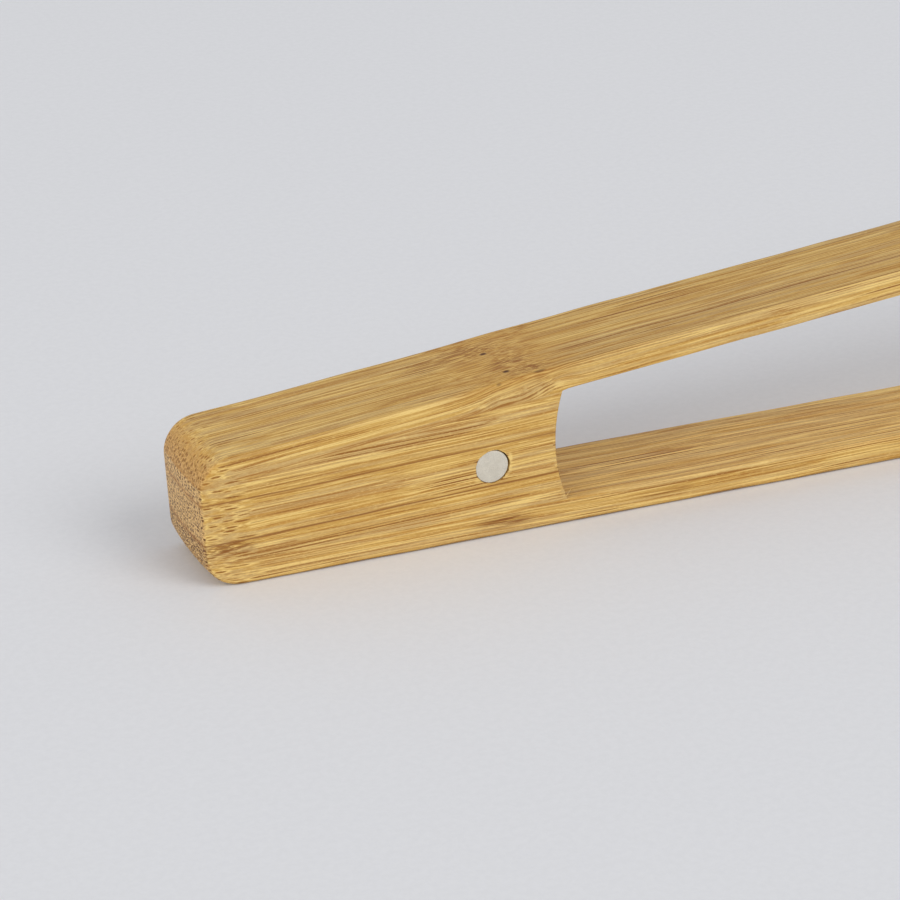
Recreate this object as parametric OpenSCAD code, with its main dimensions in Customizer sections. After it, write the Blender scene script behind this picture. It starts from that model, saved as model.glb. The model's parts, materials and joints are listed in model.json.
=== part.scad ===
// Bamboo print tongs. Two sprung bamboo arms are glued to a block of three plies,
// a magnet is let into the side of the block, and each tip wears a rubber cap.
// Millimetres. +Z is up and the tongs lie on the outer face of the lower arm,
// with the butt towards -X and the tips towards +X.

/* [Arms] */
// Width of the arms and of the block
arm_w = 16; // [12:0.5:22]
// Thickness of each arm
arm_t = 3.9; // [3:0.1:5]
// Length of each arm's bamboo, from the butt to the end of its tenon
arm_len = 212; // [180:1:250]
// Angle between the two arms at rest
spread = 6; // [4:0.5:9]

/* [Block] */
// Height of the butt end, over both arms
butt_h = 19.5; // [18:0.5:26]
// Radius of the butt's upper and lower corners
butt_r = 5; // [3:0.5:6]
// Length of the block along its middle, from the butt to the throat
block_len = 53.2; // [40:0.1:65]
// Radius of the hollow that ends the block at the throat
throat_r = 27; // [20:1:60]
// Thickness of the block's middle ply
core_t = 6.3; // [5.5:0.1:7]
// Slope of the middle ply, nose down, against the plane midway between the arms
core_slope = 1; // [0:0.25:1.5]

/* [Magnet] */
// Diameter of the magnet
magnet_d = 5; // [4:0.5:5]
// Thickness of the magnet
magnet_t = 3; // [2:0.5:5]
// Distance of the magnet's centre from the butt
magnet_x = 43.3; // [20:0.1:45]
// Radial clearance of the hole that it is glued into
magnet_gap = 0.12; // [0.1:0.01:0.2]
// Depth of the magnet's face below the side of the block
magnet_sunk = 0.05; // [0:0.01:0.2]

/* [Flexure] */
// Distance from the butt to the line about which an arm flexes
flex_x = 75; // [70:1:90]
// Clearance of the round knuckle on that line
flex_gap = 0.1; // [0.05:0.01:0.1]

/* [Tip caps] */
// Length of each arm that its cap covers
cap_len = 24; // [18:1:30]
// Wall of the cap on its back and its sides
cap_wall = 1.1; // [0.8:0.1:1.4]
// Length of the cap past the end of the bamboo
cap_nose = 2.5; // [1.5:0.25:4]
// Height of the grip over the bamboo at the cap's front
pad_front = 1.6; // [1.4:0.1:2.5]
// Radius of the cap's corners, seen from above
cap_r = 6; // [3:0.5:7]
// Number of ribs across the grip
ribs = 7; // [3:1:8]
// Radius of a rib
rib_r = 0.6; // [0.4:0.1:0.8]

/* [Hidden] */
$fn = 96;

far = arm_len + 40;               // past everything
tilt = spread / 2;                // each arm against the mid-plane
mid = butt_h / 2;                 // height of the mid-plane in the tongs' own frame

// The butt's lower corner: the height of its arc's centre, and the arc's end on the arm
corner_y = butt_r * (1 / cos(tilt) - tan(tilt));
corner_foot = [butt_r * (1 - sin(tilt)), corner_y - butt_r * cos(tilt)];
function mirrored(p) = [p[0], butt_h - p[1]];

past = 1;                         // a cut runs this far past a face

// The middle ply's lower and upper faces at the butt, and their slope
core_lift = 0.2;                  // height of its middle over the mid-plane at the butt
core_low = mid + core_lift - core_t / 2;
core_high = mid + core_lift + core_t / 2;
core_fall = tan(core_slope);
magnet_low = 0.2;                 // distance of its centre under the middle of the ply
magnet_y = mid + core_lift - magnet_low - magnet_x * core_fall;
magnet_push = 0.09;               // the magnet sits this much nearer the butt than its hole

// The cap's profile, along and across the arm
cap_start = arm_len - cap_len;
cap_end = arm_len + cap_nose;
nose_r = 2;                       // rounding of the cap's nose, seen from the side
tenon_r = 4;                      // rounding of the tenon's corners, seen from above
cap_ramp = 2;                     // length of the slope where the grip starts
rib_stand = 0.35;                 // how far a rib stands out of the grip

// The grip leans back towards the tip, so that the two grips close flat together
lever = arm_len - flex_x;
reach = arm_t / 2 + pad_front + rib_stand;
drop = mid + flex_x * sin(tilt) - arm_t / 2 * cos(tilt);
lean = asin(drop / norm([reach, lever])) - atan2(reach, lever);
close_angle = lean + tilt;
function grip(x) = arm_t + pad_front + (arm_len - x) * tan(lean);

// The origin is under the middle of the tongs' length
butt_back = butt_r * (cos(tilt) - 1) - (butt_h - corner_y) * sin(tilt);
origin_x = (butt_back + cap_end) / 2;
flex_up = [
    flex_x * cos(spread) + arm_t / 2 * sin(spread) - butt_h * sin(tilt),
    flex_x * sin(spread) - arm_t / 2 * cos(spread) + butt_h * cos(tilt),
];
echo(origin_x = origin_x, close_angle = close_angle);
echo(lower_flexure = [flex_x - origin_x, 0, arm_t / 2]);
echo(upper_flexure = [flex_up[0] - origin_x, 0, flex_up[1]]);
echo(magnet_at = [
    (magnet_x - magnet_push) * cos(tilt) - magnet_y * sin(tilt) - origin_x,
    magnet_sunk - arm_w / 2,
    (magnet_x - magnet_push) * sin(tilt) + magnet_y * cos(tilt),
]);
echo(grip_front = grip(cap_start + cap_ramp) + rib_stand, cap_start = cap_start - origin_x);

BAMBOO = [0.80, 0.63, 0.37];
BAMBOO_CORE = [0.78, 0.62, 0.40];
BAMBOO_WEDGE = [0.74, 0.56, 0.32];
NICKEL = [0.79, 0.77, 0.72];
RUBBER = [0.50, 0.10, 0.08];

// ---- Placing -------------------------------------------------------------

// From the lower arm's frame to the part's: the arm lies along +X on Z = 0
module on_table() {
    translate([-origin_x, 0, 0]) children();
}

// From the tongs' own frame, in which both arms are alike about the mid-plane
module from_tongs() {
    on_table() rotate([0, -tilt, 0]) children();
}

// The upper arm is the lower one mirrored in the mid-plane
module flipped() {
    from_tongs()
        translate([0, 0, butt_h])
            mirror([0, 0, 1])
                rotate([0, tilt, 0])
                    children();
}

// A side view drawn in X and Y, given the full width
module across(width) {
    translate([0, width / 2, 0])
        rotate([90, 0, 0])
            linear_extrude(width)
                children();
}

// ---- Side views, in the tongs' own frame ---------------------------------

// The outline of the whole butt, with its two round corners
module butt_outline() {
    lower = [[0, corner_y], corner_foot, [far, -far * tan(tilt)]];
    polygon(concat(lower, [for (i = [2:-1:0]) mirrored(lower[i])]));
    translate([butt_r, corner_y]) circle(butt_r);
    translate([butt_r, butt_h - corner_y]) circle(butt_r);
}

// Everything behind the hollow of the throat
module behind_throat() {
    difference() {
        square([block_len + throat_r, butt_h * 3]);
        translate([block_len + throat_r, mid + butt_h]) circle(throat_r);
    }
}

// The lower arm as far as its flexure, with the socket of the knuckle
module root_outline() {
    rotate(-tilt)
        difference() {
            translate([-arm_t, 0]) square([arm_t + flex_x, arm_t]);
            translate([flex_x, arm_t / 2]) circle(arm_t / 2 + flex_gap);
        }
}

// The wedge between the lower arm and the line y = top - x * core_fall
module below_core(top) {
    foot = arm_t / cos(tilt);
    polygon([
        [0, foot],
        [far, foot - far * tan(tilt)],
        [far, top - far * core_fall],
        [0, top],
    ]);
}

// ---- The block -----------------------------------------------------------

module block_ply() {
    from_tongs()
        across(arm_w)
            intersection() {
                butt_outline();
                translate([0, -butt_h]) behind_throat();
                children();
            }
}

module core_ply() {
    color(BAMBOO_CORE)
        difference() {
            block_ply()
                polygon([
                    [0, core_low],
                    [far, core_low - far * core_fall],
                    [far, core_high - far * core_fall],
                    [0, core_high],
                ]);
            from_tongs()
                translate([magnet_x, -arm_w / 2 - past, magnet_y])
                    rotate([-90, 0, 0])
                        cylinder(r = magnet_d / 2 + magnet_gap, h = past + magnet_sunk + magnet_t);
        }
}

module lower_wedge_ply() {
    color(BAMBOO_WEDGE) block_ply() below_core(core_low);
}

module upper_wedge_ply() {
    color(BAMBOO_WEDGE)
        block_ply()
            difference() {
                translate([0, butt_h]) mirror([0, 1]) below_core(butt_h);
                translate([0, core_high])
                    rotate(-core_slope)
                        translate([-butt_h, -butt_h])
                            square([far, butt_h]);
            }
}

module magnet() {
    color(NICKEL)
        from_tongs()
            translate([magnet_x - magnet_push, -arm_w / 2 + magnet_sunk, magnet_y])
                rotate([-90, 0, 0])
                    cylinder(d = magnet_d, h = magnet_t);
}

// ---- The arms ------------------------------------------------------------

module lower_arm_root() {
    color(BAMBOO)
        from_tongs()
            across(arm_w)
                intersection() {
                    butt_outline();
                    root_outline();
                }
}

module upper_arm_root() {
    color(BAMBOO)
        from_tongs()
            across(arm_w)
                intersection() {
                    butt_outline();
                    translate([0, butt_h]) mirror([0, 1]) root_outline();
                }
}

// A bar with a round-cornered end at x = x1, seen from above
module round_ended(x0, x1, width, r) {
    translate([x0, -width / 2]) square([x1 - x0 - r, width]);
    translate([x0, -width / 2 + r]) square([x1 - x0, width - 2 * r]);
    for (side = [-1, 1])
        translate([x1 - r, side * (width / 2 - r)]) circle(r);
}

// The thinner, narrower end of an arm that goes into the cap
module tenon() {
    translate([0, 0, cap_wall])
        linear_extrude(arm_t - cap_wall)
            round_ended(cap_start - past, arm_len, arm_w - 2 * cap_wall, tenon_r);
}

// An arm from its flexure to its tip, in the lower arm's frame
module blade() {
    across(arm_w) {
        translate([flex_x, 0]) square([cap_start - flex_x, arm_t]);
        translate([flex_x, arm_t / 2]) circle(arm_t / 2);
    }
    tenon();
}

module lower_arm_blade() {
    color(BAMBOO) on_table() blade();
}

module upper_arm_blade() {
    color(BAMBOO) flipped() blade();
}

// ---- The tip caps --------------------------------------------------------

// The cap from the side: flush outside, a leaning grip inside, a round nose
module cap_outline() {
    nose_x = cap_end - nose_r;
    translate([nose_x, nose_r]) circle(nose_r);
    translate([nose_x, grip(cap_end) - nose_r]) circle(nose_r);
    polygon([
        [cap_start, 0],
        [nose_x, 0],
        [cap_end, nose_r],
        [cap_end, grip(cap_end) - nose_r],
        [nose_x + nose_r * sin(lean), grip(cap_end) - nose_r + nose_r * cos(lean)],
        [cap_start + cap_ramp, grip(cap_start + cap_ramp)],
        [cap_start, arm_t + cap_wall],
    ]);
}

module cap() {
    pitch = (cap_len - cap_ramp - 3 * rib_r) / ribs;
    difference() {
        intersection() {
            union() {
                across(arm_w) cap_outline();
                for (i = [0:ribs - 1])
                    let (x = cap_start + cap_ramp + 2 * rib_r + i * pitch)
                        translate([x, arm_w / 2, grip(x) + rib_stand - rib_r])
                            rotate([90, 0, 0])
                                cylinder(r = rib_r, h = arm_w);
            }
            linear_extrude(4 * arm_t) round_ended(cap_start, cap_end, arm_w, cap_r);
        }
        tenon();
    }
}

module lower_tip_cap() {
    color(RUBBER) on_table() cap();
}

module upper_tip_cap() {
    color(RUBBER) flipped() cap();
}

core_ply();
upper_wedge_ply();
lower_wedge_ply();
magnet();
upper_arm_root();
lower_arm_root();
upper_arm_blade();
lower_arm_blade();
upper_tip_cap();
lower_tip_cap();
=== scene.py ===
"""Laminated bamboo print tongs, lying on a pale table.

Lengths are in millimetres until a mesh is made, which is in metres. Two flat frames are used:
the arm frame (x along an arm's outer face from the butt's corner, z into the arm), and the
tongs' frame (a along the mid-plane from the butt's end face, b up), in which both arms are alike.
"""

import json
import math

import bmesh
import bpy
import numpy as np
from mathutils import Matrix, Vector


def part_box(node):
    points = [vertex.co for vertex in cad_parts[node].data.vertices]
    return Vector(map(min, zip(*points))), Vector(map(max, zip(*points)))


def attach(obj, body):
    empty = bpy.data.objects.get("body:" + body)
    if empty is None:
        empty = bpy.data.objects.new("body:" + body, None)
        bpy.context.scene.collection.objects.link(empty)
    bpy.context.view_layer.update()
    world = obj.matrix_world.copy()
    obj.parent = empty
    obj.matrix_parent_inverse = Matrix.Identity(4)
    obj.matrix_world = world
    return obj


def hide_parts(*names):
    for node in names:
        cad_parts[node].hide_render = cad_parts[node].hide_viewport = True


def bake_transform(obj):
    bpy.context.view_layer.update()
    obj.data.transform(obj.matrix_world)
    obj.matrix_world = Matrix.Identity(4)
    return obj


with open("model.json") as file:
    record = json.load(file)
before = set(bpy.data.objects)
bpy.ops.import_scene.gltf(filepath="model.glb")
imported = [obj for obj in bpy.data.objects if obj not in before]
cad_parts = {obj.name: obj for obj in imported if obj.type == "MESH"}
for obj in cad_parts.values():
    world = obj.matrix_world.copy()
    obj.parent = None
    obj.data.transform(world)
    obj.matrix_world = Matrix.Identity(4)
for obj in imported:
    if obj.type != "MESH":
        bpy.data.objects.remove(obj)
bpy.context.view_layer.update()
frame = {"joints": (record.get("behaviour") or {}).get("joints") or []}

MM = 0.001

# ---- The design, in millimetres ------------------------------------------------------------

joints = {j["name"]: j for j in frame["joints"]}
lower_flex = Vector(joints["lower_arm_flex"]["pos_m"]) / MM
upper_flex = Vector(joints["upper_arm_flex"]["pos_m"]) / MM

FLEX_X = 75.0  # from the butt's corner to an arm's flexure
TILT = math.atan2(lower_flex.x - upper_flex.x, upper_flex.z - lower_flex.z)
SIN, COS = math.sin(TILT), math.cos(TILT)
ARM_W = (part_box("core_ply")[1].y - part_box("core_ply")[0].y) / MM
ARM_T = 2 * lower_flex.z
BUTT_H = (upper_flex - lower_flex).length - 2 * (FLEX_X * SIN - ARM_T / 2 * COS)
MID = BUTT_H / 2
CORNER_X = lower_flex.x - FLEX_X  # the butt's corner, in the part's frame
NEAR_SIDE = -8.0  # the y of the side with the magnet
ARM_END = 212.0  # from the butt's corner to the end of an arm's tenon
CAP_LEN = 24.0  # the length of bamboo inside a cap
CAP_START = ARM_END - CAP_LEN
CAP_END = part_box("lower_tip_cap")[1].x / MM - CORNER_X
CAP_WALL = 1.1
TENON_R = 4.0  # the tenon's corners, seen from above

BUTT_R = 5.0  # the butt's round corners, from the side
CORNER_B = BUTT_R * (1 / COS - math.tan(TILT))
FOOT_X = (BUTT_R - BUTT_R * SIN) / COS
BLOCK_LEN = 53.2
THROAT_R = 27.0  # the hollow that ends the block
THROAT_X = 54.0  # where an arm leaves the block
CORE_T = 6.3
CORE_LIFT = 0.2  # the middle ply's height over the mid-plane, at the butt
CORE_FALL = math.tan(math.radians(1.0))

EDGE_R = 0.5  # the long outer edges and the butt's edges
INNER_R = 0.35  # the arms' inner edges
THROAT_EDGE_R = 0.22  # the edges of the throat's hollow
FRAY_LEN = 7.3  # the sides are sanded back about this far from the butt's end
FRAY_TOP = 3.2  # and this far at the top
FRAY_DEPTH = 0.38  # and by this much at the end
END_DOME = 0.45  # the butt's end bulges this far midway across
END_SKEW = 0.45  # and reaches this much further on the far side than on the near one
DOME_LEN = 7.0  # both fade out over this length
CORNER_FADE = 30.0  # an arm's rows follow its round corner, and straighten over this length
NODE_HOLLOW = 0.20  # the upper arm's skin lies this low on the butt's side of the node
BEYOND_HOLLOW = 0.06  # and this low on its other side
CREASE = 38.0  # edges sharper than this, in degrees, are shaded as edges


def arm_to_tongs(x, z):
    return x * COS + z * SIN, -x * SIN + z * COS


def tongs_to_arm(a, b):
    return a * COS - b * SIN, a * SIN + b * COS


def core_low(a):
    return MID + CORE_LIFT - CORE_T / 2 - a * CORE_FALL


def core_high(a):
    return core_low(a) + CORE_T


def arm_line(a):
    """Height of the face where the lower arm meets its wedge."""
    return (ARM_T - a * SIN) / COS


def arc_step(distance, radius):
    """How far a rounded edge stands back at a distance from the edge."""
    gap = radius - np.clip(distance, 0, radius)
    return radius - np.sqrt(radius * radius - gap * gap)


def smooth(t):
    t = np.clip(t, 0, 1)
    return t * t * (3 - 2 * t)


# ---- Meshes --------------------------------------------------------------------------------


def domed(a, y):
    """The hand-sanded butt: its end bulges midway across and reaches a little further on the far side."""
    near_end = 1 - smooth(a / DOME_LEN)
    across = np.clip(y / (ARM_W / 2), -1, 1)
    return a - near_end * (END_DOME * (1 - across**2) + END_SKEW * (across + 1) / 2)


def unevenness(p):
    """A slow drift of a few hundredths of a millimetre, the same for all that touches."""
    x, y, z = p[:, 0], p[:, 1], p[:, 2]
    drift = np.zeros_like(p)
    across = 0.030 * np.sin(x / 6.1 + 0.7) * np.cos(z / 3.3 + x / 23)
    drift[:, 1] = across + 0.022 * np.sin(x / 2.3 + z / 1.9)
    up = 0.034 * np.sin(x / 8.3 + 2.0) * np.cos(y / 3.7 + 0.4)
    drift[:, 2] = up + 0.020 * np.sin(x / 3.1 - y / 2.1)
    return p + drift


def to_part(points):
    """From the tongs' frame to the part's, with the marks of hand sanding."""
    a = domed(points[:, 0], points[:, 1])
    x, z = tongs_to_arm(a, points[:, 2])
    return unevenness(np.stack([x + CORNER_X, points[:, 1], z], 1))


def make_object(name, points, faces, crease=CREASE):
    """A closed smooth-shaded mesh from points in millimetres in the part's frame."""
    mesh = bpy.data.meshes.new(name)
    mesh.from_pydata([tuple(p) for p in np.asarray(points) * MM], [], faces)
    bm = bmesh.new()
    bm.from_mesh(mesh)
    bmesh.ops.remove_doubles(bm, verts=bm.verts, dist=2e-7)
    bmesh.ops.recalc_face_normals(bm, faces=bm.faces)
    bm.to_mesh(mesh)
    bm.free()
    mesh.shade_smooth()
    mesh.set_sharp_from_angle(angle=math.radians(crease))
    obj = bpy.data.objects.new(name, mesh)
    bpy.context.scene.collection.objects.link(obj)
    return obj


def points_of(obj):
    """An object's points in millimetres."""
    co = np.zeros(len(obj.data.vertices) * 3, np.float32)
    obj.data.vertices.foreach_get("co", co)
    return co.reshape(-1, 3).astype(float) / MM


def set_vectors(obj, name, values):
    attribute = obj.data.attributes.new(name, "FLOAT_VECTOR", "POINT")
    attribute.data.foreach_set("vector", np.asarray(values, np.float32).ravel())


def set_numbers(obj, name, values):
    attribute = obj.data.attributes.new(name, "FLOAT", "POINT")
    attribute.data.foreach_set("value", np.asarray(values, np.float32))


def edge_steps(radius, count=5):
    """Distances from an edge at which its rounding gets its rows."""
    return [radius * (1 - math.cos(math.pi / 2 * i / count)) for i in range(count + 1)]


def slab_points(grid, half, strips):
    """Points and faces of a slab, from a grid of side points and its half width at each."""
    nu, nv = half.shape
    count = nu * nv
    index = np.arange(count).reshape(nu, nv)
    flat, h = grid.reshape(-1, 2), half.reshape(-1)
    left = np.stack([flat[:, 0], -h, flat[:, 1]], 1)
    right = np.stack([flat[:, 0], h, flat[:, 1]], 1)
    loop = np.concatenate([index[:-1, 0], index[-1, :-1], index[:0:-1, -1], index[0, :0:-1]])
    between = []
    for k in range(1, strips):
        y = h[loop] * (2 * k / strips - 1)
        between.append(np.stack([flat[loop, 0], y, flat[loop, 1]], 1))
    points = np.concatenate([left, right, *between])
    faces = []
    for side in (0, count):
        for i in range(nu - 1):
            for j in range(nv - 1):
                corners = (index[i, j], index[i + 1, j], index[i + 1, j + 1], index[i, j + 1])
                faces.append([int(c) + side for c in corners])
    n = len(loop)
    rings = [loop] + [2 * count + k * n + np.arange(n) for k in range(strips - 1)] + [loop + count]
    for near, away in zip(rings, rings[1:]):
        for i in range(n):
            j = (i + 1) % n
            faces.append([int(near[i]), int(near[j]), int(away[j]), int(away[i])])
    return points, faces


def outer_distance(a, b):
    """Distance into the butt from its outline, which both arms and all plies share."""
    b = np.minimum(b, BUTT_H - b)
    x, z = tongs_to_arm(a, b)
    in_corner = (x < FOOT_X) & (b < CORNER_B)
    to_corner = BUTT_R - np.hypot(a - BUTT_R, b - CORNER_B)
    return np.where(in_corner, to_corner, np.minimum(a, z))


def fray_share(a, b):
    """1 at the butt's end, falling to 0 where the sanding of the sides fades out."""
    wobble = 0.7 * np.sin(b * 1.1 + 0.6) + 0.4 * np.sin(b * 2.9)
    length = FRAY_TOP + (FRAY_LEN - FRAY_TOP) * smooth((BUTT_H - 1.0 - b) / 3.6) + wobble
    return np.clip(1 - a / length, 0, 1)


def half_width(a, b):
    """Half the width at a side point, with the rounded outer edges and the sanded butt."""
    fray = FRAY_DEPTH * fray_share(a, b) ** 2
    return ARM_W / 2 - arc_step(outer_distance(a, b), EDGE_R) - fray


def butt_start(b):
    """Where the butt begins at a height: its flat end face or its round corners."""
    b = np.minimum(b, BUTT_H - b)
    arc = BUTT_R - np.sqrt(np.clip(BUTT_R**2 - (CORNER_B - b) ** 2, 0, None))
    return np.where(b < CORNER_B, arc, 0.0)


def throat_end(b):
    return BLOCK_LEN + THROAT_R - np.sqrt(THROAT_R**2 - (b - MID) ** 2)


def stations(length, start_r, end_r, pitch):
    """Distances along a piece, closer together at its rounded ends."""
    start, end = edge_steps(start_r), edge_steps(end_r)
    middle = np.arange(start[-1] + pitch, length - end[-1] - pitch / 2, pitch)
    return np.concatenate([start, middle, [length - e for e in reversed(end)]])


def ply(name, low, high, strips=20, rows=14):
    """One ply of the block, between two sloping faces, from the butt to the hollow of the throat."""
    share = stations(BLOCK_LEN, EDGE_R, THROAT_EDGE_R, 0.8) / BLOCK_LEN
    v = np.linspace(0, 1, rows)
    share, v = np.meshgrid(share, v, indexing="ij")
    a = share * BLOCK_LEN
    # a point's height and its distance from the butt depend on each other, so they are found by turns
    for _ in range(6):
        b = low(a) + (high(a) - low(a)) * v
        a = butt_start(b) + share * (throat_end(b) - butt_start(b))
    to_throat = np.hypot(a - BLOCK_LEN - THROAT_R, b - MID) - THROAT_R
    half = half_width(a, b) - arc_step(to_throat, THROAT_EDGE_R)
    points, faces = slab_points(np.stack([a, b], 2), half, strips)
    return make_object(name, to_part(points), faces)


def node_swell(x):
    """How far the upper arm's skin lies below a straight line: it is proud only at the bamboo's node."""
    hollow = NODE_HOLLOW * smooth((x - 3) / 12) * (1 - smooth((x - 40) / 11))
    beyond = BEYOND_HOLLOW * smooth((x - 64) / 12) * (1 - smooth((x - 90) / 60))
    return hollow + beyond


def tenon_half(x, inset):
    """Half width of a round-cornered end, seen from above."""
    into = np.clip(x - (ARM_END - TENON_R), 0, TENON_R)
    return ARM_W / 2 - inset - TENON_R + np.sqrt(TENON_R**2 - into**2)


def arm(name, upper, strips=20):
    """An arm, from its round corner at the butt to its tenon in the cap."""
    s = stations(ARM_END, EDGE_R, EDGE_R, 1.0)
    s = np.unique(np.concatenate([s, [CAP_START - 0.15, CAP_START - 0.01, CAP_START + 0.01]]))
    rows = edge_steps(EDGE_R) + [0.8, 1.2, 1.7, 2.2, 2.7, 3.2]
    rows += [ARM_T - e for e in reversed(edge_steps(INNER_R))]
    s, z = np.meshgrid(s, np.array(rows), indexing="ij")
    start = FOOT_X - np.sqrt(np.clip(BUTT_R**2 - (BUTT_R - z) ** 2, 0, None))
    x = s + start * (1 - smooth(s / CORNER_FADE))
    a, b = arm_to_tongs(x, z)
    inner_r = INNER_R * smooth((x - THROAT_X - 0.3) / 1.2)
    half = half_width(a, BUTT_H - b if upper else b) - arc_step(ARM_T - z, inner_r)
    tenon = x > CAP_START
    half = np.where(tenon, np.minimum(half, tenon_half(np.minimum(x, ARM_END), CAP_WALL)), half)
    z = np.where(tenon, CAP_WALL + z * (ARM_T - CAP_WALL) / ARM_T, z)
    if upper:
        z = z + node_swell(x) * (1 - z / ARM_T)
    a, b = arm_to_tongs(x, z)
    if upper:
        b = BUTT_H - b
    points, faces = slab_points(np.stack([a, b], 2), half, strips)
    return make_object(name, to_part(points), faces)


# ---- Grain coordinates ---------------------------------------------------------------------


RUNOUT = 0.085  # at the butt's end, a side shows fibres that lie this share of its distance further in


def grain_of(obj, depth, turn):
    """Stores each point's place in its own bamboo: along the fibre, across, and depth under the skin.

    Also stores how squarely the surface cuts the fibres: 0 on a side, 1 on an end.
    """
    p = points_of(obj)
    a, b = arm_to_tongs(p[:, 0] - CORNER_X, p[:, 2])
    along, under = depth(a, b)
    # the fibres run out of the sides near the butt
    runout = RUNOUT * fray_share(a, b)
    set_vectors(obj, "grain", np.stack([along, p[:, 1] * (1 - runout), under], 1))
    normals = np.zeros(len(p) * 3, np.float32)
    obj.data.vertices.foreach_get("normal", normals)
    normals = normals.reshape(-1, 3)
    cut = np.abs(normals @ np.array([math.cos(turn), 0, math.sin(turn)], np.float32))
    sides = np.abs(normals[:, 1]) * (runout > 0)
    set_numbers(obj, "cut", cut + sides * RUNOUT * ARM_W / 2 / FRAY_LEN)


def lower_arm_grain(a, b):
    return tongs_to_arm(a, b)


def upper_arm_grain(a, b):
    return tongs_to_arm(a, BUTT_H - b)


def core_grain(a, b):
    return a, b - core_low(a)


def upper_wedge_grain(a, b):
    return a, b - core_high(a)


def lower_wedge_grain(a, b):
    return a, core_low(a) - b


# ---- Magnet --------------------------------------------------------------------------------

MAGNET_R = 2.5
MAGNET_T = 3.0
MAGNET_EDGE = 0.12  # the worn rim of its face
HOLE_R = 2.62
HOLE_DEPTH = 3.05
MAGNET_PUSH = 0.09  # the magnet sits this much nearer the butt than its hole
RIM_SHIFT = 0.04  # the hole's rim lies this much nearer the tips than its middle does


def lathe(name, profile, centre, segments=72):
    """A round piece about an axis along Y. The profile is (radius, depth) from the middle of its front."""
    points, faces = [], []
    n = len(profile)
    for i in range(segments):
        turn = 2 * math.pi * i / segments
        for radius, depth in profile:
            across, up = radius * math.cos(turn), radius * math.sin(turn)
            points.append((centre.x + across, centre.y + depth, centre.z + up))
    for i in range(segments):
        j = (i + 1) % segments
        for k in range(n - 1):
            faces.append([i * n + k, j * n + k, j * n + k + 1, i * n + k + 1])
    return make_object(name, points, faces)


def magnet_profile(radius, thick, edge):
    """Across the dished front, round the worn rim, down the side and across the back."""
    dish = 0.05
    front = [(radius * s, dish * (1 - s * s)) for s in (0.0, 0.3, 0.6, 0.8)]
    turns = np.linspace(0.2, math.pi / 2, 5)
    rim = [(radius - edge + edge * math.sin(t), edge - edge * math.cos(t)) for t in turns]
    back = [(radius, thick - edge), (radius - edge, thick), (0.0, thick)]
    return front + rim + back


def cut_hole(obj, centre, radius, depth):
    """Drills a blind hole into the side at -Y, ragged where the fibres tore."""
    bpy.ops.mesh.primitive_cylinder_add(vertices=96, radius=radius * MM, depth=2 * depth * MM)
    drill = bpy.context.object
    for vertex in drill.data.vertices:
        turn = math.atan2(vertex.co.y, vertex.co.x)
        torn = 0.030 * math.sin(5 * turn + 1.0) + 0.025 * math.sin(11 * turn)
        torn += 0.018 * math.sin(23 * turn + 2.0)
        vertex.co.xy *= 1 + (torn + RIM_SHIFT * math.cos(turn)) / radius
    drill.rotation_euler = (math.pi / 2, 0, 0)
    drill.location = Vector((centre.x, -ARM_W / 2, centre.z)) * MM
    modifier = obj.modifiers.new("hole", "BOOLEAN")
    modifier.operation = "DIFFERENCE"
    modifier.solver = "EXACT"
    modifier.object = drill
    bpy.context.view_layer.update()
    graph = bpy.context.evaluated_depsgraph_get()
    mesh = bpy.data.meshes.new_from_object(obj.evaluated_get(graph))
    obj.modifiers.clear()
    obj.data = mesh
    bpy.data.objects.remove(drill)
    mesh.shade_smooth()
    mesh.set_sharp_from_angle(angle=math.radians(CREASE))


def sliver(name, root, tip, radius):
    """A torn fibre, thin and pointed."""
    root, tip = Vector(root), Vector(tip)
    line = tip - root
    side = line.orthogonal().normalized()
    other = line.cross(side).normalized()
    points, faces = [], []
    shares = (0.0, 0.25, 0.5, 0.75, 1.0)
    for share in shares:
        r = radius * (1 - 0.85 * share)
        bow = side * 0.12 * math.sin(math.pi * share)
        for k in range(6):
            turn = math.pi * k / 3
            out = side * math.cos(turn) + other * math.sin(turn)
            points.append(root + line * share + bow + out * r)
    for i in range(len(shares) - 1):
        for k in range(6):
            j = (k + 1) % 6
            faces.append([6 * i + k, 6 * i + j, 6 * i + 6 + j, 6 * i + 6 + k])
    faces.append(list(range(6)))
    faces.append([6 * (len(shares) - 1) + k for k in range(6)])
    return make_object(name, points, faces)


# ---- Tip caps ------------------------------------------------------------------------------

CAP_NOSE = 2.5  # the cap's length past the bamboo
PAD_FRONT = 1.6  # the grip's height over the bamboo, at its front
RIBS = 7
RIB_R = 0.6
RIB_SPREAD = 1.1  # half a rib's width along the grip, in radii
RIB_STAND = 0.35  # how far a rib stands out of the grip
RAMP = 2.0  # the length of the slope where the grip starts
RIM_R = 0.15
NOSE_R = 2.0  # the nose, seen from the side
PLAN_R = 6.0  # the nose's corners, seen from above
CORNER_R = 0.5  # the long edges at the rim
CORNER_GAIN = 0.8  # and they grow rounder by this much
CORNER_LEN = 8.0  # over this length
POCKET_R = 0.15  # the edges of the pocket
CAP_PITCH = 0.17  # the distance between a cap's rows
CAP_CREASE = 50.0

lever = ARM_END - FLEX_X
reach = ARM_T / 2 + PAD_FRONT + RIB_STAND
drop = MID + FLEX_X * SIN - ARM_T / 2 * COS
LEAN = math.asin(drop / math.hypot(reach, lever)) - math.atan2(reach, lever)


def grip(x):
    return ARM_T + PAD_FRONT + (ARM_END - x) * math.tan(LEAN)


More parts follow.
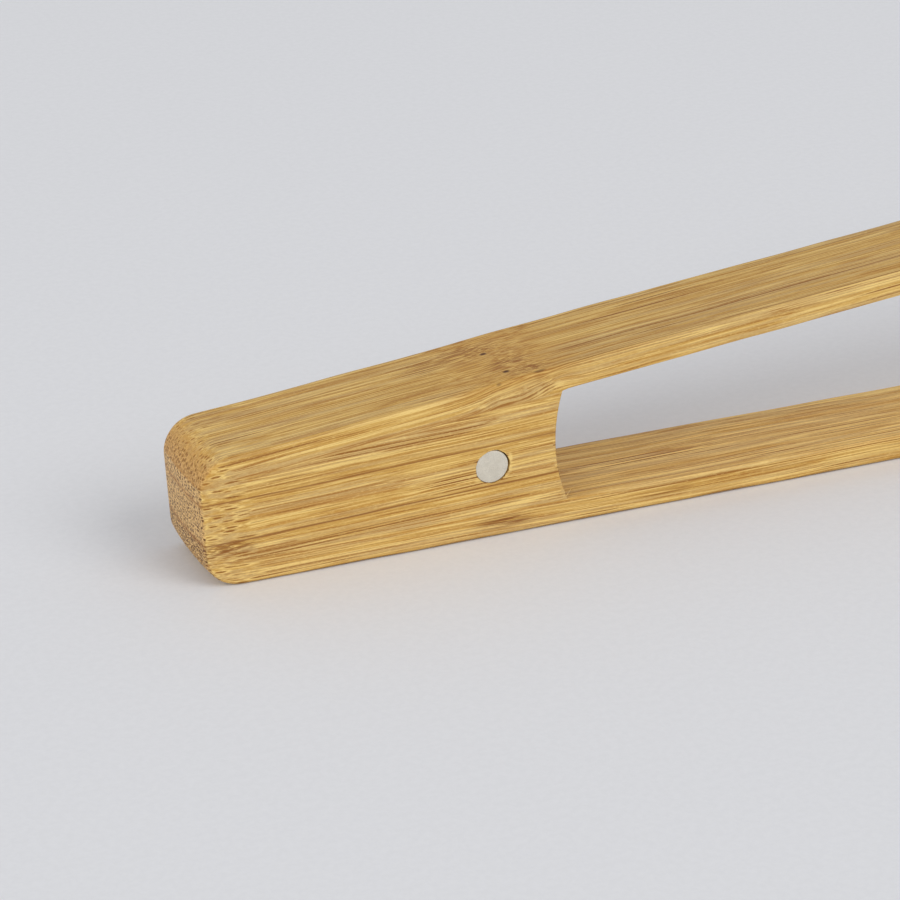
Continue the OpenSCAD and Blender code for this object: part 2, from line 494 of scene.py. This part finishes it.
def rib_height(x):
    """How far the ribs stand out of the grip."""
    pitch = (CAP_END - CAP_NOSE - CAP_START - RAMP - 3 * RIB_R) / RIBS
    first = CAP_START + RAMP + 2 * RIB_R
    height = 0.0
    for i in range(RIBS):
        off = abs(x - first - i * pitch) / (RIB_R * RIB_SPREAD)
        if off < 1:
            height = RIB_STAND * math.sqrt(1 - off**3)
    return height


def cap_section(x):
    """Low, high, half width and corner radius of the cap at x, with its round nose and its rim."""
    nose = max(0.0, x - (CAP_END - NOSE_R))
    side = NOSE_R - math.sqrt(max(0.0, NOSE_R**2 - nose**2))
    plan = max(0.0, x - (CAP_END - PLAN_R))
    half = ARM_W / 2 - PLAN_R + math.sqrt(max(0.0, PLAN_R**2 - plan**2))
    ramp = float(smooth((x - CAP_START) / RAMP))
    high = (ARM_T + CAP_WALL) * (1 - ramp) + grip(x) * ramp + rib_height(x)
    inset = float(arc_step(x - CAP_START, RIM_R))
    corner = CORNER_R + CORNER_GAIN * float(smooth((x - CAP_START) / CORNER_LEN))
    return side + inset, high - side - inset, half - inset, corner


def ring(x, low, high, half, radius, each=5, across=12):
    """Points round a rounded rectangle at x, starting at its lower left corner."""
    radius = min(radius, (high - low) / 2 - 0.01, half - 0.01)
    corners = [
        (-half + radius, low + radius, math.pi),
        (half - radius, low + radius, 1.5 * math.pi),
        (half - radius, high - radius, 0.0),
        (-half + radius, high - radius, 0.5 * math.pi),
    ]
    turns = np.linspace(0, math.pi / 2, each)
    points = []
    for i, (y, z, turn) in enumerate(corners):
        arc = [(y + radius * math.cos(turn + t), z + radius * math.sin(turn + t)) for t in turns]
        points += arc
        last_y, last_z = arc[-1]
        ny, nz, nturn = corners[(i + 1) % 4]
        to = (ny + radius * math.cos(nturn), nz + radius * math.sin(nturn))
        steps = across if i % 2 == 0 else 4
        for k in range(1, steps):
            s = k / steps
            points.append((last_y + (to[0] - last_y) * s, last_z + (to[1] - last_z) * s))
    return [(x, p[0], p[1]) for p in points]


def cap(name, upper):
    """A moulded rubber cap: its outside, its rim, and the pocket that the tenon fills."""
    xs = [CAP_START + e for e in edge_steps(RIM_R)]
    xs += list(np.arange(CAP_START + RIM_R + 0.15, CAP_END - NOSE_R, CAP_PITCH))
    xs += [CAP_END - NOSE_R + NOSE_R * math.sin(t) for t in np.linspace(0, math.pi / 2, 9)]
    rings = [ring(x, *cap_section(x)) for x in xs]
    pocket = [CAP_START, ARM_END - TENON_R, ARM_END - TENON_R / 2, ARM_END - 0.6, ARM_END]
    inner = [ring(x, CAP_WALL, ARM_T, float(tenon_half(x, CAP_WALL)), POCKET_R) for x in pocket]
    rings = list(reversed(inner)) + rings
    n = len(rings[0])
    points = [p for r in rings for p in r]
    faces = []
    for i in range(len(rings) - 1):
        for k in range(n):
            j = (k + 1) % n
            faces.append([i * n + k, i * n + j, (i + 1) * n + j, (i + 1) * n + k])
    faces.append(list(range(n)))
    faces.append([(len(rings) - 1) * n + k for k in range(n)])
    p = np.array(points)
    a, b = arm_to_tongs(p[:, 0], p[:, 2])
    if upper:
        b = BUTT_H - b
    x, z = tongs_to_arm(a, b)
    obj = make_object(name, np.stack([x + CORNER_X, p[:, 1], z], 1), faces, crease=CAP_CREASE)
    q = points_of(obj)
    a, b = arm_to_tongs(q[:, 0] - CORNER_X, q[:, 2])
    x, z = tongs_to_arm(a, BUTT_H - b if upper else b)
    crest = np.array([rib_height(v) / RIB_STAND for v in x]) * (z > ARM_T + 0.5)
    set_vectors(obj, "grain", np.stack([x, q[:, 1], z], 1))
    set_numbers(obj, "wear", crest)
    return obj


# ---- Materials -----------------------------------------------------------------------------


def srgb(red, green, blue):
    """A colour as a screen shows it, 0 to 255, in Blender's linear units."""
    values = [c / 255 for c in (red, green, blue)]
    return tuple(c / 12.92 if c < 0.04045 else ((c + 0.055) / 1.055) ** 2.4 for c in values) + (1.0,)


class Paint:
    """A material's node tree, with short calls for the nodes it uses."""

    def __init__(self, name):
        self.material = bpy.data.materials.new(name)
        self.material.use_nodes = True
        self.tree = self.material.node_tree
        self.shader = next(n for n in self.tree.nodes if n.type == "BSDF_PRINCIPLED")

    def link(self, value, socket):
        if isinstance(value, bpy.types.NodeSocket):
            self.tree.links.new(value, socket)
        else:
            socket.default_value = value

    def maths(self, operation, first, second=0.5):
        node = self.tree.nodes.new("ShaderNodeMath")
        node.operation = operation
        self.link(first, node.inputs[0])
        self.link(second, node.inputs[1])
        return node.outputs[0]

    def vector(self, operation, first, second):
        node = self.tree.nodes.new("ShaderNodeVectorMath")
        node.operation = operation
        self.link(first, node.inputs[0])
        self.link(second, node.inputs[1])
        return node.outputs[0]

    def length(self, vector):
        node = self.tree.nodes.new("ShaderNodeVectorMath")
        node.operation = "LENGTH"
        self.link(vector, node.inputs[0])
        return node.outputs["Value"]

    def attribute(self, name):
        node = self.tree.nodes.new("ShaderNodeAttribute")
        node.attribute_name = name
        return node

    def split(self, vector):
        node = self.tree.nodes.new("ShaderNodeSeparateXYZ")
        self.link(vector, node.inputs[0])
        return node.outputs

    def join(self, x, y, z):
        node = self.tree.nodes.new("ShaderNodeCombineXYZ")
        for value, socket in zip((x, y, z), node.inputs):
            self.link(value, socket)
        return node.outputs[0]

    def noise(self, vector, scale, shift=0.0, detail=2.0, roughness=0.55):
        """Noise at a scale along, across and through the fibre."""
        node = self.tree.nodes.new("ShaderNodeTexNoise")
        place = self.vector("MULTIPLY", vector, scale)
        self.link(self.vector("ADD", place, (shift, shift * 0.7, -shift)), node.inputs["Vector"])
        node.inputs["Scale"].default_value = 1.0
        node.inputs["Detail"].default_value = detail
        node.inputs["Roughness"].default_value = roughness
        return node

    def cells(self, across, through, size, shift=0.0):
        """Bundles of a size, seen end on, which run on for ever along the fibre."""
        node = self.tree.nodes.new("ShaderNodeTexVoronoi")
        node.voronoi_dimensions = "2D"
        place = self.vector("MULTIPLY", self.join(across, through, 0.0), (1 / size, 1 / size, 0.0))
        self.link(self.vector("ADD", place, (shift, shift * 0.7, 0.0)), node.inputs["Vector"])
        node.inputs["Scale"].default_value = 1.0
        node.inputs["Randomness"].default_value = 0.8
        return node

    def ramp(self, value, low, high, to_low=0.0, to_high=1.0):
        node = self.tree.nodes.new("ShaderNodeMapRange")
        node.interpolation_type = "SMOOTHSTEP"
        self.link(value, node.inputs[0])
        for socket, number in zip(node.inputs[1:5], (low, high, to_low, to_high)):
            self.link(number, socket)
        return node.outputs[0]

    def mix(self, share, first, second, blend="MIX"):
        node = self.tree.nodes.new("ShaderNodeMix")
        node.data_type = "RGBA"
        node.blend_type = blend
        self.link(share, node.inputs[0])
        self.link(first, node.inputs[6])
        self.link(second, node.inputs[7])
        return node.outputs[2]

    def bump(self, height, distance):
        node = self.tree.nodes.new("ShaderNodeBump")
        node.inputs["Strength"].default_value = 1.0
        node.inputs["Distance"].default_value = distance
        self.link(height, node.inputs["Height"])
        self.link(node.outputs[0], self.shader.inputs["Normal"])


TAN = srgb(206, 171, 110)
GOLD = srgb(212, 168, 86)
CREAM = srgb(248, 214, 132)
AMBER = srgb(190, 134, 55)
STREAK = srgb(167, 111, 43)
RUST = srgb(150, 96, 36)
BROWN = srgb(136, 82, 32)
DARK = srgb(84, 50, 22)
# multiply tint of the skin side: partly the denser outer layer's own darker tone, partly painted shade for
# the top face's weaker light
SKIN_AND_SHADE = (0.70, 0.65, 0.58, 1.0)
END_PALE = srgb(232, 188, 122)
END_DARK = srgb(92, 54, 24)


def bamboo(name, seed, bundle, end_waves, skin=False, glue=(), stains=(), node=None):
    """Solid bamboo: pale ground, long fibre bundles with brown pores, fine streaks and open end grain.

    A glue line is its depth, its width, its strength and where it stops. A stain is its centre and its
    size along, across and under the skin, its strength, its colour, and whether it keeps to the streaks.
    """
    paint = Paint(name)
    grain = paint.attribute("grain").outputs["Vector"]
    x, y, depth = paint.split(grain)
    under_skin = depth
    if node:
        # the fibres climb towards the skin as they pass the node, and ripple beside it
        depth = paint.maths("ADD", depth, paint.ramp(x, node - 12.0, node + 8.0, 0.0, 1.7))
        before = paint.ramp(x, node - 14.0, node - 3.0)
        beyond = paint.ramp(x, node + 12.0, node + 2.0)
        beside = paint.maths("MULTIPLY", before, beyond)
        ripple = paint.noise(grain, (0.12, 0.15, 0.22), seed + 5, 1.0).outputs["Color"]
        ripple = paint.split(paint.vector("SUBTRACT", ripple, (0.5, 0.5, 0.5)))
        sway = paint.maths("MULTIPLY", beside, paint.ramp(under_skin, 0.3, 1.8, 1.0, 2.6))
        y = paint.maths("ADD", y, paint.maths("MULTIPLY", ripple[1], sway))
        depth = paint.maths("ADD", depth, paint.maths("MULTIPLY", ripple[2], sway))
    place = paint.join(x, y, depth)
    wander = paint.noise(place, (0.016, 0.12, 0.12), seed, 1.5)
    drift = paint.vector("SUBTRACT", wander.outputs["Color"], (0.5, 0.5, 0.5))
    place = paint.vector("ADD", place, paint.vector("MULTIPLY", drift, (0.0, 1.8, 1.8)))
    x, across, through = paint.split(place)

    # how squarely the surface cuts the fibres: nearly nothing on a side, all of it on an end
    cut = paint.attribute("cut").outputs["Fac"]
    slant = paint.ramp(cut, 0.012, 0.06)
    end = paint.ramp(cut, 0.35, 0.90)

    # tone: broad patches, then bands
    patches = paint.noise(place, (0.018, 0.80, 0.80), seed + 3, 2.0).outputs["Fac"]
    bands = paint.noise(place, (0.014, 1.4, 1.4), seed + 7, 2.0, 0.6).outputs["Fac"]
    lines = paint.noise(place, (0.065, 5.0, 5.0), seed + 13, 2.0, 0.65).outputs["Fac"]
    fine = paint.noise(place, (0.20, 11.0, 11.0), seed + 11, 2.0, 0.6).outputs["Fac"]
    flecks = paint.noise(place, (1.6, 8.0, 8.0), seed + 31, 2.0, 0.6).outputs["Fac"]
    ground = paint.mix(paint.ramp(patches, 0.42, 0.60), TAN, GOLD)
    colour = paint.mix(paint.ramp(bands, 0.50, 0.70, 0.0, 0.62), ground, AMBER)
    colour = paint.mix(paint.ramp(bands, 0.44, 0.26, 0.0, 0.42), colour, CREAM)
    colour = paint.mix(paint.ramp(lines, 0.52, 0.64, 0.0, 0.82), colour, STREAK)
    colour = paint.mix(paint.ramp(lines, 0.43, 0.31, 0.0, 0.85), colour, CREAM)
    colour = paint.mix(paint.maths("MULTIPLY", slant, 0.6), colour, ground)

    # single fibres: thin brown and cream lines
    threads = paint.cells(across, through, bundle * 0.52, seed + 29)
    thread = threads.outputs["Distance"]
    kind = paint.split(threads.outputs["Color"])
    run = paint.noise(place, (0.055, 1.3, 1.3), seed + 23, 1.0).outputs["Fac"]
    pale = paint.maths("MULTIPLY", paint.ramp(kind[0], 0.45, 0.75), paint.ramp(run, 0.55, 0.40))
    pale = paint.maths("MULTIPLY", paint.ramp(thread, 0.48, 0.25), paint.maths("MULTIPLY", pale, 0.85))
    colour = paint.mix(pale, colour, CREAM)
    drab = paint.maths("MULTIPLY", paint.ramp(kind[1], 0.40, 0.75), paint.ramp(run, 0.44, 0.58))
    drab = paint.maths("MULTIPLY", paint.ramp(thread, 0.40, 0.18), paint.maths("MULTIPLY", drab, 0.85))
    colour = paint.mix(drab, colour, STREAK)

    # fibre bundles: a pale sheath round brown pores, more open in some stretches than in others
    cells = paint.cells(across, through, bundle, seed)
    distance = cells.outputs["Distance"]
    chance = paint.split(cells.outputs["Color"])
    stretch = paint.noise(place, (0.045, 0.9, 0.9), seed + 19, 1.0).outputs["Fac"]
    open_here = paint.ramp(stretch, 0.37, 0.52)
    sheath = paint.maths("MULTIPLY", paint.ramp(distance, 0.52, 0.34), paint.ramp(distance, 0.16, 0.28))
    sheath_seen = paint.maths("MULTIPLY", paint.ramp(chance[0], 0.2, 0.7, 0.1, 1.0), open_here)
    cut_sheath = paint.maths("MULTIPLY", slant, paint.ramp(chance[2], 0.3, 0.9, 0.0, 0.8))
    sheath_seen = paint.maths("MAXIMUM", sheath_seen, cut_sheath)
    sheath = paint.maths("MULTIPLY", sheath, paint.maths("MULTIPLY", sheath_seen, 0.85))
    pores = paint.ramp(distance, 0.32, 0.14)
    seen = paint.maths("MULTIPLY", paint.ramp(chance[1], 0.2, 0.65, 0.2, 1.0), open_here)
    cut_seen = paint.maths("MULTIPLY", slant, paint.ramp(chance[1], 0.15, 0.8, 0.15, 1.0))
    seen = paint.maths("MAXIMUM", seen, cut_seen)
    brown = paint.maths("MULTIPLY", pores, seen)
    colour = paint.mix(sheath, colour, CREAM)
    colour = paint.mix(brown, colour, paint.mix(end, RUST, BROWN))
    colour = paint.mix(paint.ramp(fine, 0.50, 0.78, 0.0, 0.35), colour, AMBER)
    colour = paint.mix(paint.ramp(flecks, 0.50, 0.72, 0.0, 0.30), colour, AMBER)
    colour = paint.mix(paint.ramp(flecks, 0.48, 0.28, 0.0, 0.35), colour, CREAM)
    # the skin side darkens, more so away from the butt: partly the outer layer's own darker tone, partly
    # painted shade where the upper arm's top face gets less light
    if skin:
        outside = paint.ramp(under_skin, 0.7, 0.05)
        skin_tone_and_shade = paint.maths("MULTIPLY", outside, paint.ramp(x, 4.0, 30.0, 0.35, 0.55))
        colour = paint.mix(skin_tone_and_shade, colour, SKIN_AND_SHADE, "MULTIPLY")
    if node:
        dusk = paint.maths("MULTIPLY", beside, paint.ramp(under_skin, 2.5, 0.3, 0.0, 0.6))
        colour = paint.mix(dusk, colour, paint.mix(paint.ramp(lines, 0.38, 0.60), GOLD, STREAK))

    # end grain
    speckle = paint.noise(place, (0.4, 2.6, 4.5), seed + 17, 2.0, 0.7).outputs["Fac"]
    end_colour = paint.mix(paint.ramp(speckle, 0.42, 0.60, 0.0, end_waves), END_PALE, END_DARK)
    dots = paint.ramp(distance, 0.40, 0.20)
    dots = paint.maths("MULTIPLY", dots, paint.ramp(chance[1], 0.0, 0.6, 0.45, 1.0))
    end_colour = paint.mix(dots, end_colour, END_DARK)
    colour = paint.mix(paint.maths("MULTIPLY", end, 0.9), colour, end_colour)

    # brown glue lines, which come and go
    for line, width, strength, until in glue:
        off = paint.maths("ABSOLUTE", paint.maths("SUBTRACT", paint.split(grain)[2], line))
        ragged = paint.maths("MULTIPLY", paint.ramp(bands, 0.25, 0.6, 0.8, 1.4), width)
        dark = paint.maths("MULTIPLY", paint.ramp(off, ragged, 0.0), strength)
        dark = paint.maths("MULTIPLY", dark, paint.ramp(x, until, until - 1.0))
        halo = paint.maths("MULTIPLY", paint.ramp(off, 0.9, 0.0), paint.ramp(stretch, 0.40, 0.60, 0.1, 0.7))
        halo = paint.maths("MULTIPLY", halo, paint.ramp(x, until, until - 1.0))
        halo = paint.maths("MULTIPLY", halo, paint.ramp(lines, 0.35, 0.60, 0.3, 1.0))
        colour = paint.mix(halo, colour, STREAK)
        colour = paint.mix(dark, colour, BROWN)
    for centre, size, strength, tint, streaked in stains:
        off = paint.vector("SUBTRACT", grain, centre)
        off = paint.vector("MULTIPLY", off, tuple(1 / r for r in size))
        spot = paint.ramp(paint.length(off), 1.0, 0.3, 0.0, strength)
        if streaked:
            spot = paint.maths("MULTIPLY", spot, paint.ramp(lines, 0.40, 0.56))
        colour = paint.mix(spot, colour, tint)
    paint.link(colour, paint.shader.inputs["Base Color"])
    paint.link(paint.ramp(lines, 0.3, 0.7, 0.42, 0.58), paint.shader.inputs["Roughness"])
    paint.shader.inputs["Specular IOR Level"].default_value = 0.3
    pits = paint.maths("MULTIPLY", brown, paint.maths("ADD", 0.5, paint.maths("MULTIPLY", end, 1.2)))
    paint.bump(paint.maths("SUBTRACT", paint.maths("MULTIPLY", fine, 0.35), pits), 0.00004)
    return paint.material


def dry_fibre():
    """A pale torn fibre."""
    paint = Paint("dry_fibre")
    place = paint.attribute("grain").outputs["Vector"]
    tone = paint.noise(place, (3.0, 3.0, 1.0), 1.0, 2.0, 0.6).outputs["Fac"]
    paint.link(paint.mix(paint.ramp(tone, 0.35, 0.65), CREAM, TAN), paint.shader.inputs["Base Color"])
    paint.shader.inputs["Roughness"].default_value = 0.6
    return paint.material


def sanded_nickel():
    """The magnet's face: matt grey metal, clouded and speckled, with fine sanding scratches."""
    paint = Paint("sanded_nickel")
    place = paint.attribute("grain").outputs["Vector"]
    scratch = paint.noise(place, (1.2, 1.0, 14.0), 2.0, 3.0, 0.65).outputs["Fac"]
    cross = paint.noise(place, (9.0, 1.0, 2.0), 5.0, 2.0, 0.6).outputs["Fac"]
    cloud = paint.noise(place, (0.7, 1.0, 0.7), 9.0, 3.0, 0.6).outputs["Fac"]
    specks = paint.noise(place, (7.0, 1.0, 7.0), 3.0, 2.0, 0.7).outputs["Fac"]
    pale, grey = srgb(228, 222, 207), srgb(196, 189, 173)
    colour = paint.mix(paint.ramp(cloud, 0.35, 0.65, 0.1, 0.4), pale, grey)
    colour = paint.mix(paint.ramp(specks, 0.45, 0.70, 0.0, 0.6), colour, grey)
    colour = paint.mix(paint.ramp(scratch, 0.58, 0.75, 0.0, 0.35), colour, srgb(150, 143, 130))
    paint.link(colour, paint.shader.inputs["Base Color"])
    paint.shader.inputs["Metallic"].default_value = 0.35
    paint.link(paint.ramp(cross, 0.3, 0.7, 0.45, 0.65), paint.shader.inputs["Roughness"])
    paint.bump(paint.maths("ADD", scratch, paint.maths("MULTIPLY", cross, 0.6)), 0.00002)
    return paint.material


def moulded_rubber():
    """Matt red rubber, clouded and dusty, and worn paler along the ribs."""
    paint = Paint("moulded_rubber")
    place = paint.attribute("grain").outputs["Vector"]
    wear = paint.attribute("wear").outputs["Fac"]
    cloud = paint.noise(place, (0.35, 0.35, 0.35), 4.0, 4.0, 0.6).outputs["Fac"]
    specks = paint.noise(place, (7.0, 7.0, 7.0), 8.0, 2.0, 0.6).outputs["Fac"]
    colour = paint.mix(paint.ramp(cloud, 0.35, 0.70, 0.0, 0.45), srgb(146, 34, 26), srgb(116, 25, 20))
    colour = paint.mix(paint.ramp(specks, 0.62, 0.80, 0.0, 0.22), colour, srgb(178, 96, 84))
    rubbed = paint.maths("MULTIPLY", wear, paint.ramp(cloud, 0.3, 0.6, 0.10, 0.35))
    colour = paint.mix(rubbed, colour, srgb(184, 84, 70))
    paint.link(colour, paint.shader.inputs["Base Color"])
    paint.link(paint.ramp(cloud, 0.3, 0.7, 0.52, 0.72), paint.shader.inputs["Roughness"])
    paint.shader.inputs["Specular IOR Level"].default_value = 0.4
    paint.bump(specks, 0.00003)
    return paint.material


def paper():
    """The table: matt white board with the faintest mottle."""
    paint = Paint("table_board")
    place = paint.tree.nodes.new("ShaderNodeTexCoord").outputs["Object"]
    mottle = paint.noise(place, (900.0, 900.0, 900.0), 0.0, 3.0, 0.7).outputs["Fac"]
    colour = paint.mix(paint.ramp(mottle, 0.3, 0.7), srgb(228, 228, 229), srgb(225, 225, 226))
    paint.link(colour, paint.shader.inputs["Base Color"])
    paint.shader.inputs["Roughness"].default_value = 0.9
    paint.shader.inputs["Specular IOR Level"].default_value = 0.2
    return paint.material


def dress(obj, material):
    obj.data.materials.clear()
    obj.data.materials.append(material)


# ---- The pieces ----------------------------------------------------------------------------

magnet_low, magnet_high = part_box("magnet")
magnet_centre = (magnet_low + magnet_high) / 2 / MM
magnet_front = Vector((magnet_centre.x, magnet_low.y / MM, magnet_centre.z))
hole_centre = magnet_centre + Vector((MAGNET_PUSH * COS, 0, MAGNET_PUSH * SIN))

PAST_BLOCK = 60.0  # a glue line that stops here runs the block's whole length
PLY_GLUE = (0.0, 0.14, 0.7, PAST_BLOCK)
CORE_TOP_GLUE = (CORE_T, 0.14, 0.7, PAST_BLOCK)

hole_a, hole_b = arm_to_tongs(hole_centre.x - CORNER_X, hole_centre.z)
hole_depth = hole_b - core_low(hole_a)
HOLE_CHIPS = [
    ((hole_a + 2.75, NEAR_SIDE, hole_depth + 0.9), (0.5, 3.0, 1.1), 0.75, CREAM, False),
    ((hole_a + 2.70, NEAR_SIDE, hole_depth - 0.6), (0.4, 3.0, 0.7), 0.6, CREAM, False),
    ((hole_a - 2.3, NEAR_SIDE, hole_depth - 1.7), (0.9, 3.0, 0.5), 0.5, CREAM, False),
]
core = ply("core", core_low, core_high)
cut_hole(core, hole_centre, HOLE_R, HOLE_DEPTH)
grain_of(core, core_grain, TILT)
core_paint = bamboo(
    "bamboo_core",
    11.0,
    bundle=0.58,
    end_waves=0.6,
    glue=[PLY_GLUE, CORE_TOP_GLUE],
    stains=HOLE_CHIPS,
)
dress(core, core_paint)
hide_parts("core_ply")
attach(core, "butt")

upper_wedge = ply("upper_wedge", core_high, lambda a: BUTT_H - arm_line(a))
grain_of(upper_wedge, upper_wedge_grain, TILT)
upper_wedge_paint = bamboo("bamboo_upper_wedge", 23.0, bundle=0.60, end_waves=0.6, glue=[PLY_GLUE])
dress(upper_wedge, upper_wedge_paint)
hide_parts("upper_wedge_ply")
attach(upper_wedge, "butt")

lower_wedge = ply("lower_wedge", arm_line, core_low)
grain_of(lower_wedge, lower_wedge_grain, TILT)
lower_wedge_paint = bamboo(
    "bamboo_lower_wedge",
    37.0,
    bundle=0.60,
    end_waves=1.0,
    glue=[(0.0, 0.18, 0.95, PAST_BLOCK)],
    stains=[((3.5, NEAR_SIDE, 0.9), (6.0, 5.0, 1.7), 0.75, BROWN, True)],
)
dress(lower_wedge, lower_wedge_paint)
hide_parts("lower_wedge_ply")
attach(lower_wedge, "butt")

NODE_X = 49.0  # from the butt's corner to the bamboo's node
NODE_SPECKS = [
    ((46.6, 1.9, 0.0), (0.75, 0.5, 1.0), 1.0, DARK, False),
    ((47.3, -5.1, 0.0), (0.75, 0.5, 1.0), 1.0, DARK, False),
    ((45.0, -7.9, 0.1), (0.6, 0.4, 0.5), 0.5, DARK, False),
    ((51.4, -7.5, 0.0), (1.3, 0.45, 0.6), 0.6, DARK, False),
    ((48.6, -2.4, 0.0), (5.0, 1.6, 0.8), 0.7, BROWN, True),
    ((43.0, 3.6, 0.0), (8.0, 3.0, 0.8), 0.6, BROWN, True),
    ((50.5, -6.0, 0.0), (4.0, 1.6, 0.8), 0.7, BROWN, True),
]
BUTT_TINT = ((0.0, 0.0, 1.5), (4.0, 20.0, 9.0), 0.45, AMBER, False)
upper_arm = arm("upper_arm_strip", True)
grain_of(upper_arm, upper_arm_grain, 2 * TILT)
upper_paint = bamboo(
    "bamboo_upper_arm",
    5.0,
    skin=True,
    bundle=0.62,
    end_waves=0.7,
    glue=[(ARM_T, 0.08, 0.15, THROAT_X)],
    stains=NODE_SPECKS + [BUTT_TINT],
    node=NODE_X,
)
dress(upper_arm, upper_paint)
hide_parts("upper_arm_root", "upper_arm_blade")

lower_arm = arm("lower_arm_strip", False)
grain_of(lower_arm, lower_arm_grain, 0.0)
lower_paint = bamboo(
    "bamboo_lower_arm",
    17.0,
    skin=True,
    bundle=0.60,
    end_waves=0.9,
    glue=[(ARM_T, 0.08, 0.2, THROAT_X)],
    stains=[
        ((44.5, NEAR_SIDE, 2.1), (6.5, 4.0, 1.5), 0.9, BROWN, True),
        ((70.0, NEAR_SIDE, 2.1), (7.0, 4.0, 1.1), 0.6, BROWN, True),
    ],
)
dress(lower_arm, lower_paint)
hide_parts("lower_arm_root", "lower_arm_blade")

BENDING = (
    (upper_arm, "upper_arm", upper_flex, 2 * TILT),
    (lower_arm, "lower_arm", lower_flex, 0.0),
)
for piece, body, flex, turn in BENDING:
    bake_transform(piece)


splinter = sliver("splinter", (-52.55, -7.7, 4.1), (-51.75, -7.95, 5.55), 0.09)
set_vectors(splinter, "grain", points_of(splinter))
dress(splinter, dry_fibre())
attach(splinter, "butt")

magnet = lathe("magnet_disc", magnet_profile(MAGNET_R, MAGNET_T, MAGNET_EDGE), magnet_front)
set_vectors(magnet, "grain", points_of(magnet) - np.array(magnet_front))
dress(magnet, sanded_nickel())
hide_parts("magnet")
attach(magnet, "butt")

rubber = moulded_rubber()
for side in ("upper", "lower"):
    tip_cap = cap(side + "_cap", side == "upper")
    dress(tip_cap, rubber)
    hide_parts(side + "_tip_cap")
    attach(tip_cap, side + "_arm")

# ---- Table, lights and camera --------------------------------------------------------------

TABLE_Z = -0.00008  # clear of the lower arm's unevenness
bpy.ops.mesh.primitive_plane_add(size=6.0, location=(0, 0, TABLE_Z))
table = bpy.context.object
table.name = "table"
table.data.materials.append(paper())


def area_light(name, place, power, colour):
    """A round soft light that shines on the tongs near their throat."""
    data = bpy.data.lights.new(name, "AREA")
    data.shape = "DISK"
    data.size = 3.0
    data.energy = power
    data.color = colour
    light = bpy.data.objects.new(name, data)
    light.location = place
    light.rotation_euler = (LIT - Vector(place)).to_track_quat("-Z", "Y").to_euler()
    bpy.context.scene.collection.objects.link(light)


LIT = Vector((-0.05, 0, 0))
area_light("key", (1.7, -2.8, 3.0), 66.0, (1.0, 0.985, 0.96))
area_light("fill", (-2.9, -1.3, 1.3), 45.0, (0.97, 0.98, 1.0))

world = bpy.data.worlds.new("soft_room")
world.use_nodes = True
world.node_tree.nodes["Background"].inputs["Color"].default_value = (0.93, 0.95, 1.0, 1.0)
world.node_tree.nodes["Background"].inputs["Strength"].default_value = 0.59
bpy.context.scene.world = world
bpy.context.scene.view_settings.view_transform = "Standard"

AZIMUTH = math.radians(-21.65)
ELEVATION = math.radians(26.2)
ROLL = -0.006
DISTANCE = 0.4947
LOOK_AT = Vector((36.24 + CORNER_X, -ARM_W / 2, 15.15)) * MM

camera_data = bpy.data.cameras.new("camera")
camera_data.lens = 140.0
camera_data.sensor_width = 36.0
camera_data.clip_start = 0.01
camera = bpy.data.objects.new("camera", camera_data)
flat = math.cos(ELEVATION)
forward = Vector((-math.sin(AZIMUTH) * flat, math.cos(AZIMUTH) * flat, -math.sin(ELEVATION)))
right = forward.cross(Vector((0, 0, 1))).normalized()
up = right.cross(forward)
tilted_right = right * math.cos(ROLL) + up * math.sin(ROLL)
tilted_up = up * math.cos(ROLL) - right * math.sin(ROLL)
turn = Matrix((tilted_right, tilted_up, -forward)).transposed().to_4x4()
camera.matrix_world = Matrix.Translation(LOOK_AT - forward * DISTANCE) @ turn
bpy.context.scene.collection.objects.link(camera)
bpy.context.scene.camera = camera

bpy.context.view_layer.update()
